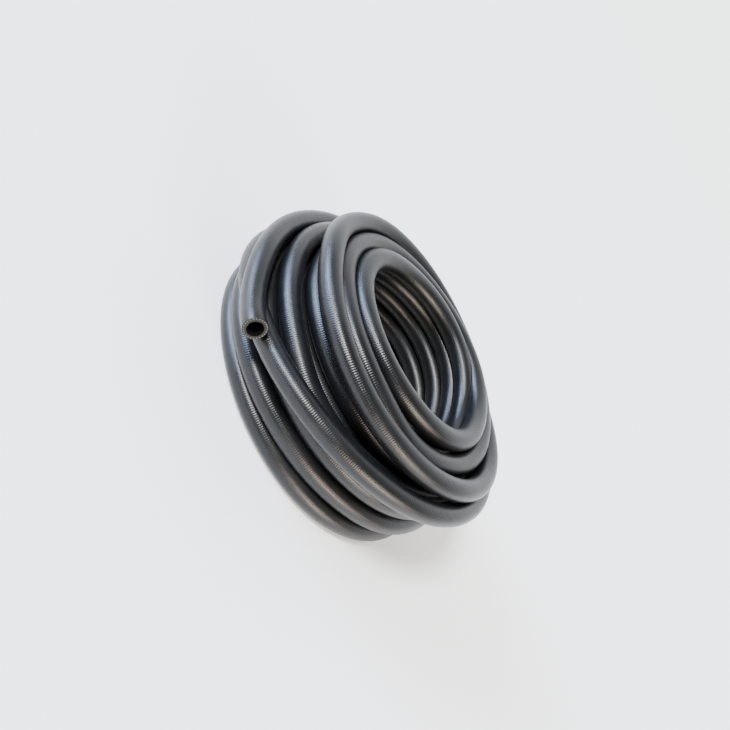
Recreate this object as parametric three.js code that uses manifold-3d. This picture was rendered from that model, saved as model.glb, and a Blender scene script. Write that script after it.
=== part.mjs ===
// Coil of plain rubber hose, lying flat on one end, in millimetres with +Z up.
// The wound turns are one turned solid; the last lap is a tube laid round their outside to its cut end.
import * as THREE from 'three';
import { mergeVertices } from 'three/addons/utils/BufferGeometryUtils.js';
import Module from 'manifold-3d';

const wasm = await Module();
wasm.setup();
const { Manifold, Mesh } = wasm;

const hoseDiameter = 29;
const hoseBore = 19;
const eyeDiameter = 240;
const innerTurns = 6;
const middleTurns = 5;
const outerTurns = 5;
const layerStep = 26.2; // radius gained from one layer to the next
const innerLift = 5.5; // the innermost turns lie this far above the lowest outer one
const outerTurnGap = 5; // slack between neighbours of the outer layer
const coilFacets = 48;
const freeEndAngle = 248; // degrees round the coil, at the cut face
const freeEndSweep = 428; // degrees that the last lap runs before its cut face
const lapClimb = 60; // degrees over which it climbs out of the outer layer
const lapRise = 160; // degrees over which it rises up the tread
const lapLow = 55; // height of its centre where it climbs out
const lapHigh = 131; // its highest
const freeEndHeight = 93; // at the cut face
const freeEndLift = 38; // the end stands this far off, over the lap's own start
const freeEndLiftSweep = 65; // degrees over which it lifts
const freeEndSteps = 84;
const clearance = 0.3; // between the free end and the turns under it

const hoseRadius = hoseDiameter / 2;
const turnPitch = hoseDiameter;
const innerRadius = eyeDiameter / 2 + hoseRadius;
const middleRadius = innerRadius + layerStep;
const outerRadius = middleRadius + layerStep;
const crestRadius = outerRadius + hoseRadius;
const degree = Math.PI / 180;
const facetAngle = 30 * degree;
const grooveAngle = 20 * degree;

// A turn's section is a twelve-sided ring with flats at the top, bottom and crest.
function sectionPoint(turn, angle) {
  const off = angle - Math.round(angle / facetAngle) * facetAngle;
  const reach = hoseRadius / Math.cos(off);
  return new THREE.Vector2(turn.x + reach * Math.cos(angle), turn.y + reach * Math.sin(angle));
}

// The visible arc of a turn runs anticlockwise from its last neighbour's groove to the next one's.
function turnArc(before, turn, after) {
  const start = Math.atan2(before.y - turn.y, before.x - turn.x) + grooveAngle;
  let end = Math.atan2(after.y - turn.y, after.x - turn.x) - grooveAngle;
  while (end < start) {
    end += 2 * Math.PI;
  }
  const points = [sectionPoint(turn, start)];
  const margin = 2 * degree;
  for (let k = Math.floor(start / facetAngle) - 1; k * facetAngle < end; k += 1) {
    const corner = (k + 0.5) * facetAngle;
    if (corner > start + margin && corner < end - margin) {
      points.push(sectionPoint(turn, corner));
    }
  }
  points.push(sectionPoint(turn, end));
  return points;
}

// The turns on the outline of the section, anticlockwise from the lowest of the inner layer.
function outlineTurns() {
  const ring = [];
  const lowest = hoseRadius + innerLift;
  ring.push(new THREE.Vector2(innerRadius, lowest));
  ring.push(new THREE.Vector2(middleRadius, lowest + turnPitch / 2));
  for (let k = 0; k < outerTurns; k += 1) {
    ring.push(new THREE.Vector2(outerRadius, hoseRadius + k * (turnPitch + outerTurnGap)));
  }
  const middleTop = lowest + turnPitch / 2 + (middleTurns - 1) * turnPitch;
  ring.push(new THREE.Vector2(middleRadius, middleTop));
  for (let k = innerTurns - 1; k > 0; k -= 1) {
    ring.push(new THREE.Vector2(innerRadius, lowest + k * turnPitch));
  }
  return ring;
}

function coilGeometry() {
  const ring = outlineTurns();
  const profile = [];
  ring.forEach((turn, k) => {
    const before = ring[(k + ring.length - 1) % ring.length];
    const after = ring[(k + 1) % ring.length];
    profile.push(...turnArc(before, turn, after));
  });
  profile.push(profile[0].clone());
  const lathe = new THREE.LatheGeometry(profile, coilFacets);
  lathe.rotateX(Math.PI / 2);
  return lathe;
}

function smooth(t) {
  const u = Math.min(Math.max(t, 0), 1);
  return u * u * (3 - 2 * u);
}

// Centre line of the last lap: out of the outer layer, up the tread, down again and off at the end.
class FreeEndCurve extends THREE.Curve {
  getPoint(t, target = new THREE.Vector3()) {
    const turned = t * freeEndSweep;
    const angle = (freeEndAngle - freeEndSweep + turned) * degree;
    const full = crestRadius + clearance + hoseRadius + 0.4;
    const first = crestRadius - hoseRadius * 0.5;
    const lifted = Math.max(0, 1 - (freeEndSweep - turned) / freeEndLiftSweep) ** 1.5;
    const radius = first + (full - first) * smooth(turned / lapClimb) + freeEndLift * lifted;
    const up = smooth(turned / lapRise);
    const down = smooth((turned - lapRise) / (freeEndSweep - lapRise));
    const height = lapLow + (lapHigh - lapLow) * up - (lapHigh - freeEndHeight) * down;
    return target.set(radius * Math.cos(angle), radius * Math.sin(angle), height);
  }
}

function ringShape() {
  const shape = new THREE.Shape();
  shape.absarc(0, 0, hoseRadius, 0, 2 * Math.PI, false);
  const bore = new THREE.Path();
  bore.absarc(0, 0, hoseBore / 2, 0, 2 * Math.PI, true);
  shape.holes.push(bore);
  return shape;
}

function toManifold(geometry) {
  const bare = geometry.clone();
  bare.deleteAttribute('normal');
  bare.deleteAttribute('uv');
  const merged = mergeVertices(bare, 1e-4);
  const vertProperties = new Float32Array(merged.attributes.position.array);
  const triVerts = new Uint32Array(merged.index.array);
  const mesh = new Mesh({ numProp: 3, vertProperties, triVerts });
  return new Manifold(mesh);
}

function toGeometry(solid) {
  const mesh = solid.getMesh();
  const geometry = new THREE.BufferGeometry();
  geometry.setAttribute('position', new THREE.BufferAttribute(mesh.vertProperties, 3));
  geometry.setIndex(new THREE.BufferAttribute(mesh.triVerts, 1));
  geometry.computeVertexNormals();
  return geometry;
}

// The free end is a bored tube whose underside is trimmed where it still sits among the turns.
function freeEndGeometry() {
  const extrudePath = new FreeEndCurve();
  const options = { steps: freeEndSteps, curveSegments: 6, bevelEnabled: false, extrudePath };
  const tube = toManifold(new THREE.ExtrudeGeometry(ringShape(), options));
  const reach = crestRadius + clearance;
  const tall = 4 * crestRadius;
  const drum = new THREE.CylinderGeometry(reach, reach, tall, 2 * coilFacets);
  drum.rotateX(Math.PI / 2);
  return toGeometry(tube.subtract(toManifold(drum)));
}

const rubber = { color: 0x26282b, roughness: 0.42, metalness: 0 };
const part = new THREE.Group();

const coil = new THREE.Mesh(coilGeometry(), new THREE.MeshStandardMaterial(rubber));
coil.name = 'wound_coil';
part.add(coil);

const freeEnd = new THREE.Mesh(freeEndGeometry(), new THREE.MeshStandardMaterial(rubber));
freeEnd.name = 'free_end';
part.add(freeEnd);

// The origin is the centre of the underside of the whole part's box.
const box = new THREE.Box3().setFromObject(part, true);
const centre = box.getCenter(new THREE.Vector3());
part.position.set(-centre.x, -centre.y, -box.min.z);

export default part;
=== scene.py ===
import math

import bmesh
import bpy
import numpy as np
from mathutils import Matrix, Vector


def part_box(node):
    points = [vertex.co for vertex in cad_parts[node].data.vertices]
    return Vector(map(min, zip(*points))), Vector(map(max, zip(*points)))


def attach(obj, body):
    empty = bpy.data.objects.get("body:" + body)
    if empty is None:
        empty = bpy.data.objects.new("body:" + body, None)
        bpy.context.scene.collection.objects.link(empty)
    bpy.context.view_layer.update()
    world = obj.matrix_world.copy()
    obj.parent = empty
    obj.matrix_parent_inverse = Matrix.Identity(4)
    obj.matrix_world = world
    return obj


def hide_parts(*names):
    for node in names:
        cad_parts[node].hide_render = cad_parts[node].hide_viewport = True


# A coil of plain black rubber hose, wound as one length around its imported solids.
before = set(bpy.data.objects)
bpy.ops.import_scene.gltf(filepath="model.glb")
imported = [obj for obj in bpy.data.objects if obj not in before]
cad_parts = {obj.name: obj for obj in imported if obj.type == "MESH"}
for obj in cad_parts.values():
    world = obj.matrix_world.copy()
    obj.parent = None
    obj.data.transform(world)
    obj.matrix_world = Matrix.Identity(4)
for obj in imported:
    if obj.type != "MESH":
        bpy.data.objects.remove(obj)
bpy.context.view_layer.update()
coilLow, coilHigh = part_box("wound_coil")
coilAxis = Vector(((coilLow.x + coilHigh.x) / 2, (coilLow.y + coilHigh.y) / 2, 0))
print("frame loaded")


# The camera is turned on its side, because the coil is stored flat and was pictured on its rim.
view = {
    "place": (-0.0056, -0.9717, 0.5538),  # metres from the coil's axis
    "towards": (-0.0111, 0.0165, 0.0705),
    "roll": 63.66,
    "lens": 40.0,
    "sensor": 36.0,
}


def makeCamera():
    data = bpy.data.cameras.new("studioCamera")
    data.sensor_width = view["sensor"]
    data.lens = view["lens"]
    camera = bpy.data.objects.new("studioCamera", data)
    bpy.context.scene.collection.objects.link(camera)
    place = Vector(view["place"]) + coilAxis
    aim = Vector(view["towards"]) + coilAxis - place
    level = aim.to_track_quat("-Z", "Y").to_matrix()
    turn = level @ Matrix.Rotation(math.radians(view["roll"]), 3, "Z")
    camera.matrix_world = Matrix.Translation(place) @ turn.to_4x4()
    bpy.context.scene.camera = camera


makeCamera()
print("camera placed")


# The hose is one length, from the hidden start of the middle layer to the free end. Sizes are millimetres.
hose = {
    "outerDiameter": 29.0,
    "bore": 19.0,
    "sides": 36,
    "stepsPerTurn": 72,
    "rimBevel": 0.6,
    "rimSegments": 2,
    "ribSpacing": 2.6,  # left all along by the cloth it was cured in
    "ribHeight": 0.14,
    "yarnsRound": 30,  # of that cloth, crossing the ribs
    "yarnShare": 0.4,  # how much they show beside the ribs
    "gritSize": 1.43,
    "gritHeight": 0.4,
    "patchSize": 71.4,  # the skin's wear, from duller to glossier
    "skinColours": ("#08090a", "#111214"),
    "skinRoughness": (0.3, 0.4),
    "boreCloudSize": 11.1,
    "boreColours": ("#040405", "#0b0b0c"),
    "braidRadius": 12.8,  # where the textile braid shows on the cut face
    "braidHalfWidth": (0.3, 0.8),  # its full strength, then its fade
    "braidEnds": 24,
    "braidHeight": 0.4,
    "cutColours": ("#0e0e10", "#62605b"),  # rubber, then yarn
    "startAngle": 150,  # degrees round the coil, out of sight at the back
    "endAngle": 248,
    "stationAngles": (150, 185, 215, 245, 275, 305, 340, 380, 425, 478),  # the last only where turns cross
    # radius and height at each station, one turn after another
    "turns": {
        "middleFourth": ((161, 121),) * 9,
        "middleThird": ((161, 92.5),) * 9,
        "middleSecond": ((161, 63.5),) * 9,
        "middleLowest": ((161, 32),) * 9,
        "innerLowest": ((134.5, 20),) * 8 + ((134.5, 49),),
        "innerSecond": ((134.5, 49),) * 8 + ((134.5, 78),),
        "innerThird": ((134.5, 78),) * 8 + ((134.5, 107),),
        "innerFourth": ((134.5, 107),) * 8 + ((134.5, 134),),
        "innerFifth": ((132, 134),) * 8 + ((129, 156),),
        "innerFront": (
            (121, 163), (125.5, 163), (126, 161), (127, 163), (126.5, 164),
            (126.5, 164), (128.5, 163), (134, 162), (146.5, 163),
        ),
        "middleFront": (
            (155.5, 153), (152.5, 153), (154, 154), (156, 155), (158, 154.5),
            (160, 148), (157.5, 149), (161, 152), (170, 153.5),
        ),
        "outerFront": (
            (186.5, 155), (181.5, 154), (182.5, 159), (185, 155), (187.5, 152),
            (189, 152.5), (191.5, 154.5), (193.5, 148), (193, 136),
        ),
        "outerSecond": (
            (189.5, 115.5), (190, 112), (192.5, 108.5), (194.5, 103.5), (197, 99),
            (194, 108), (190.5, 111.5), (189, 111), (189, 105),
        ),
        "outerThird": (
            (191, 85), (194, 79), (192, 73), (190, 69.5), (187, 72),
            (188.5, 78.5), (189.5, 82.5), (189, 80.5), (189.5, 66), (183, 34),
        ),
        "outerLowest": (
            (191.5, 16.4), (196.5, 15.4), (195.5, 15.2), (192, 15.5), (192, 15.3),
            (195, 15.2), (196, 15.3), (198.5, 15.2), (205.5, 15.4), (212, 33.5),
        ),
        "outerClimb": (
            (195, 43.5), (196, 43.5), (203, 42), (202, 43), (194.5, 44),
            (191, 45.5), (198, 48.5), (208, 51), (214, 52),
        ),
        "lastLap": (
            (212.5, 61), (214.5, 62), (220.5, 66), (223, 83.5), (225, 107),
            (220, 123), (214.5, 131.5), (213.5, 127), (215, 117.5),
        ),
        "freeEnd": ((215, 102), (215.5, 98.5), (227, 96), (250, 93), (330, 160)),
    },
}


def smoothThrough(where, knots, values):
    knots = np.array(knots, float)
    values = np.array(values, float)
    widths = np.diff(knots)
    slopes = np.diff(values) / widths
    lean = np.empty_like(values)
    lean[1:-1] = (slopes[:-1] * widths[1:] + slopes[1:] * widths[:-1]) / (widths[:-1] + widths[1:])
    lean[0], lean[-1] = slopes[0], slopes[-1]
    at = np.clip(np.searchsorted(knots, where, side="right") - 1, 0, len(knots) - 2)
    t = (where - knots[at]) / widths[at]
    rise = values[at + 1] - values[at]
    bend = widths[at] * (t * (1 - t) ** 2 * lean[at] - t ** 2 * (1 - t) * lean[at + 1])
    return values[at] + rise * (3 * t ** 2 - 2 * t ** 3) + bend


def hoseLine():
    knots, radii, heights = [], [], []
    for turn, stations in enumerate(hose["turns"].values()):
        for angle, (radius, height) in zip(hose["stationAngles"], stations):
            knots.append(360 * turn + angle)
            radii.append(radius / 1000)
            heights.append(height / 1000)
    last = 360 * (len(hose["turns"]) - 1) + hose["endAngle"]
    steps = round((last - hose["startAngle"]) * hose["stepsPerTurn"] / 360)
    turned = np.linspace(hose["startAngle"], last, steps + 1)
    radius = smoothThrough(turned, knots, radii)
    height = smoothThrough(turned, knots, heights)
    angle = np.radians(turned)
    outward = np.stack([np.cos(angle), np.sin(angle), np.zeros_like(angle)], 1)
    line = outward * radius[:, None] + np.array(coilAxis)
    line[:, 2] = height
    return line, outward


hosePath, outward = hoseLine()
stepLengths = np.linalg.norm(np.diff(hosePath, axis=0), axis=1)
lengthAlong = np.concatenate([[0.0], np.cumsum(stepLengths)])
along = np.gradient(hosePath, axis=0)
along /= np.linalg.norm(along, axis=1)[:, None]
outward -= along * np.sum(along * outward, axis=1)[:, None]
outward /= np.linalg.norm(outward, axis=1)[:, None]
sideways = np.cross(along, outward)
print("hose line", len(hosePath), "points,", round(float(lengthAlong[-1]), 3), "m")


def rollTube(bm, wrap, radius, finish):  # a flat sheet rolled round the line
    steps = len(hosePath) - 1
    sheet = bmesh.ops.create_grid(bm, x_segments=steps, y_segments=hose["sides"], size=0.5)["verts"]
    flat = np.array([vert.co for vert in sheet]) + 0.5
    step = np.rint(flat[:, 0] * steps).astype(int)
    turn = flat[:, 1] * 2 * math.pi
    spoke = np.cos(turn)[:, None] * outward[step] + np.sin(turn)[:, None] * sideways[step]
    place = hosePath[step] + radius * spoke
    chart = {vert: (lengthAlong[step[k]], flat[k, 1]) for k, vert in enumerate(sheet)}
    for face in {face for vert in sheet for face in vert.link_faces}:
        face.material_index = finish
        for loop in face.loops:
            loop[wrap].uv = chart[loop.vert]
    for vert, spot in zip(sheet, place):
        vert.co = spot


def closeEnd(bm, cut, at):  # the cut face between the skin and the bore
    centre = Vector(hosePath[at])
    near = hose["outerDiameter"] / 1000
    loose = [edge for edge in bm.edges if edge.is_boundary]
    rim = [edge for edge in loose if (edge.verts[0].co - centre).length < near]
    filled = bmesh.ops.triangle_fill(bm, edges=rim, use_beauty=True)["geom"]
    for face in [part for part in filled if isinstance(part, bmesh.types.BMFace)]:
        face.material_index = 1
        for loop in face.loops:
            away = (loop.vert.co - centre) * 1000
            loop[cut].uv = (away.dot(Vector(outward[at])), away.dot(Vector(sideways[at])))
    return rim


def makeHose():
    bm = bmesh.new()
    wrap = bm.loops.layers.uv.new("hoseWrap")
    cut = bm.loops.layers.uv.new("cutFace")
    rollTube(bm, wrap, hose["outerDiameter"] / 2000, 0)
    rollTube(bm, wrap, hose["bore"] / 2000, 2)
    bmesh.ops.remove_doubles(bm, verts=bm.verts, dist=1e-6)
    rims = closeEnd(bm, cut, 0) + closeEnd(bm, cut, -1)
    bmesh.ops.bevel(
        bm,
        geom=rims,
        offset=hose["rimBevel"] / 1000,
        segments=hose["rimSegments"],
        profile=0.5,
        affect="EDGES",
        material=-1,
    )
    bmesh.ops.recalc_face_normals(bm, faces=bm.faces)
    for face in bm.faces:
        face.smooth = face.material_index != 1
    mesh = bpy.data.meshes.new("rubberHose")
    bm.to_mesh(mesh)
    bm.free()
    piece = bpy.data.objects.new("rubberHose", mesh)
    bpy.context.scene.collection.objects.link(piece)
    return piece


hosePiece = makeHose()
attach(hosePiece, "root")
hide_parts("wound_coil", "free_end")
print("hose built", len(hosePiece.data.polygons), "faces")


def hexColour(code):  # sRGB hex to linear
    parts = [int(code[k:k + 2], 16) / 255 for k in (1, 3, 5)]
    return tuple(c / 12.92 if c <= 0.04045 else ((c + 0.055) / 1.055) ** 2.4 for c in parts) + (1.0,)


def addNode(tree, kind, settings=None, inputs=None):
    made = tree.nodes.new("ShaderNode" + kind)
    for name, value in (settings or {}).items():
        setattr(made, name, value)
    for name, value in (inputs or {}).items():
        if isinstance(value, bpy.types.NodeSocket):
            tree.links.new(value, made.inputs[name])
        else:
            made.inputs[name].default_value = value
    return made


def newMaterial(name):
    material = bpy.data.materials.new(name)
    material.use_nodes = True
    return material, material.node_tree, material.node_tree.nodes["Principled BSDF"]


# EPDM rubber wrapped in wet cloth while it cured, so its black skin is finely ribbed and softly glossy.
def clothCuredRubber():
    material, tree, shader = newMaterial("clothCuredRubber")
    times, wave = {"operation": "MULTIPLY"}, {"operation": "SINE"}
    ribRate = 2 * math.pi * 1000 / hose["ribSpacing"]
    yarnRate = 2 * math.pi * hose["yarnsRound"]
    chart = addNode(tree, "UVMap", {"uv_map": "hoseWrap"})
    split = addNode(tree, "SeparateXYZ", inputs={0: chart.outputs[0]})
    ribTurn = addNode(tree, "Math", times, {0: split.outputs[0], 1: ribRate})
    ribWave = addNode(tree, "Math", wave, {0: ribTurn.outputs[0]})
    yarnTurn = addNode(tree, "Math", times, {0: split.outputs[1], 1: yarnRate})
    yarnWave = addNode(tree, "Math", wave, {0: yarnTurn.outputs[0]})
    weave = addNode(tree, "Math", times, {0: ribWave.outputs[0], 1: yarnWave.outputs[0]})
    relief = addNode(
        tree,
        "Math",
        {"operation": "MULTIPLY_ADD"},
        {0: weave.outputs[0], 1: hose["yarnShare"], 2: ribWave.outputs[0]},
    )
    spots = addNode(tree, "TexCoord").outputs["Object"]
    patchScale, gritScale = 1000 / hose["patchSize"], 1000 / hose["gritSize"]
    patches = addNode(tree, "TexNoise", inputs={"Vector": spots, "Scale": patchScale, "Detail": 3.0})
    grit = addNode(tree, "TexNoise", inputs={"Vector": spots, "Scale": gritScale, "Detail": 2.0})
    skin = addNode(tree, "ValToRGB", inputs={0: patches.outputs[0]})
    for stop, place, code in zip(skin.color_ramp.elements, (0.35, 0.7), hose["skinColours"]):
        stop.position = place
        stop.color = hexColour(code)
    glossiest, dullest = hose["skinRoughness"]
    gloss = addNode(
        tree,
        "MapRange",
        inputs={
            "Value": patches.outputs[0],
            "From Min": 0.3,
            "From Max": 0.7,
            "To Min": glossiest,
            "To Max": dullest,
        },
    )
    ribDepth, gritDepth = hose["ribHeight"] / 1000, hose["gritHeight"] / 1000
    ribs = addNode(
        tree,
        "Bump",
        inputs={"Strength": 0.45, "Distance": ribDepth, "Height": relief.outputs[0]},
    )
    fine = addNode(
        tree,
        "Bump",
        inputs={
            "Strength": 0.25,
            "Distance": gritDepth,
            "Height": grit.outputs[0],
            "Normal": ribs.outputs[0],
        },
    )
    shader.inputs["IOR"].default_value = 1.4
    tree.links.new(skin.outputs[0], shader.inputs["Base Color"])
    tree.links.new(gloss.outputs[0], shader.inputs["Roughness"])
    tree.links.new(fine.outputs[0], shader.inputs["Normal"])
    return material


# The rubber lining, extruded smooth and left matt, so the bore reads as a dark hole.
def extrudedBoreRubber():
    material, tree, shader = newMaterial("extrudedBoreRubber")
    spots = addNode(tree, "TexCoord").outputs["Object"]
    cloudScale = 1000 / hose["boreCloudSize"]
    cloud = addNode(tree, "TexNoise", inputs={"Vector": spots, "Scale": cloudScale, "Detail": 2.0})
    dark, pale = [hexColour(code) for code in hose["boreColours"]]
    shade = addNode(tree, "Mix", {"data_type": "RGBA"}, {0: cloud.outputs[0], 6: dark, 7: pale})
    shader.inputs["Roughness"].default_value = 0.85
    shader.inputs["Specular IOR Level"].default_value = 0.06
    tree.links.new(shade.outputs[2], shader.inputs["Base Color"])
    return material


# Knife-cut rubber, matt, with the pale yarn ends of its textile braid in a ring near the rim.
def cutRubber():
    material, tree, shader = newMaterial("cutRubber")
    fullHalf, fadedHalf = hose["braidHalfWidth"]
    chart = addNode(tree, "UVMap", {"uv_map": "cutFace"})
    split = addNode(tree, "SeparateXYZ", inputs={0: chart.outputs[0]})
    reach = addNode(tree, "VectorMath", {"operation": "LENGTH"}, {0: chart.outputs[0]})
    turn = addNode(tree, "Math", {"operation": "ARCTAN2"}, {0: split.outputs[1], 1: split.outputs[0]})
    ends = addNode(tree, "Math", {"operation": "MULTIPLY"}, {0: turn.outputs[0], 1: hose["braidEnds"]})
    beads = addNode(tree, "Math", {"operation": "SINE"}, {0: ends.outputs[0]})
    off = addNode(
        tree,
        "Math",
        {"operation": "SUBTRACT"},
        {0: reach.outputs["Value"], 1: hose["braidRadius"]},
    )
    near = addNode(tree, "Math", {"operation": "ABSOLUTE"}, {0: off.outputs[0]})
    band = addNode(
        tree,
        "MapRange",
        {"interpolation_type": "SMOOTHSTEP"},
        {"Value": near.outputs[0], "From Min": fadedHalf, "From Max": fullHalf},
    )
    dots = addNode(tree, "Math", {"operation": "MULTIPLY_ADD"}, {0: beads.outputs[0], 1: 0.7, 2: 0.25})
    yarn = addNode(
        tree,
        "Math",
        {"operation": "MULTIPLY", "use_clamp": True},
        {0: band.outputs[0], 1: dots.outputs[0]},
    )
    rubber, textile = [hexColour(code) for code in hose["cutColours"]]
    tint = addNode(tree, "Mix", {"data_type": "RGBA"}, {0: yarn.outputs[0], 6: rubber, 7: textile})
    depth = hose["braidHeight"] / 1000
    dent = addNode(tree, "Bump", inputs={"Strength": 0.4, "Distance": depth, "Height": yarn.outputs[0]})
    shader.inputs["Roughness"].default_value = 0.7
    shader.inputs["IOR"].default_value = 1.4
    tree.links.new(tint.outputs[2], shader.inputs["Base Color"])
    tree.links.new(dent.outputs[0], shader.inputs["Normal"])
    return material


hosePiece.data.materials.append(clothCuredRubber())
hosePiece.data.materials.append(cutRubber())
hosePiece.data.materials.append(extrudedBoreRubber())
print("materials made")


studio = {
    "floorReach": 30,  # metres
    "floorDrop": 0.0005,
    "floorColour": "#f4f4f4",
    "floorGlow": 0.3,  # a light table, so the pale floor stays even
    "skyColour": "#f2f5f8",
    "skyBehind": 2.6,
    "skyInFront": 0.12,
    "skySeen": 4.0,  # the plain pale backdrop that the camera sees past the floor
    # name: (direction it comes from, strength, softness in degrees, colour)
    "lamps": {
        "blueSide": ((-1.0, -0.3, 0.3), 12.0, 34, "#c4d9ff"),
        "narrowKey": ((-0.5, -0.75, 0.8), 8.0, 16, "#ffffff"),
        "warmSide": ((0.9, -0.5, 0.3), 6.0, 30, "#ffeedd"),
    },
}


def makeFloor():
    bm = bmesh.new()
    bmesh.ops.create_grid(bm, x_segments=1, y_segments=1, size=studio["floorReach"])
    mesh = bpy.data.meshes.new("studioFloor")
    bm.to_mesh(mesh)
    bm.free()
    floor = bpy.data.objects.new("studioFloor", mesh)
    floor.location.z = -studio["floorDrop"]
    bpy.context.scene.collection.objects.link(floor)
    material, tree, shader = newMaterial("paleLightTable")
    shader.inputs["Base Color"].default_value = hexColour(studio["floorColour"])
    shader.inputs["Roughness"].default_value = 0.95
    shader.inputs["Emission Color"].default_value = hexColour(studio["floorColour"])
    shader.inputs["Emission Strength"].default_value = studio["floorGlow"]
    mesh.materials.append(material)


def makeSky():
    world = bpy.data.worlds.new("studioSky")
    world.use_nodes = True
    bpy.context.scene.world = world
    tree = world.node_tree
    backdrop = tree.nodes["Background"]
    backdrop.inputs[0].default_value = hexColour(studio["skyColour"])
    spots = addNode(tree, "TexCoord")
    split = addNode(tree, "SeparateXYZ", inputs={0: spots.outputs["Generated"]})
    fade = addNode(
        tree,
        "MapRange",
        {"interpolation_type": "SMOOTHSTEP"},
        {
            "Value": split.outputs[1],
            "From Min": -0.1,
            "From Max": 0.7,
            "To Min": studio["skyInFront"],
            "To Max": studio["skyBehind"],
        },
    )
    ray = addNode(tree, "LightPath")
    shown = addNode(
        tree,
        "Mix",
        {"data_type": "FLOAT"},
        {0: ray.outputs["Is Camera Ray"], 2: fade.outputs[0], 3: studio["skySeen"]},
    )
    tree.links.new(shown.outputs[0], backdrop.inputs[1])


def makeLamps():
    for name, (source, strength, softness, colour) in studio["lamps"].items():
        data = bpy.data.lights.new(name, "SUN")
        data.energy = strength
        data.angle = math.radians(softness)
        data.color = hexColour(colour)[:3]
        lamp = bpy.data.objects.new(name, data)
        lamp.rotation_euler = Vector(source).to_track_quat("Z", "Y").to_euler()
        bpy.context.scene.collection.objects.link(lamp)


makeFloor()
makeSky()
makeLamps()
print("studio set")
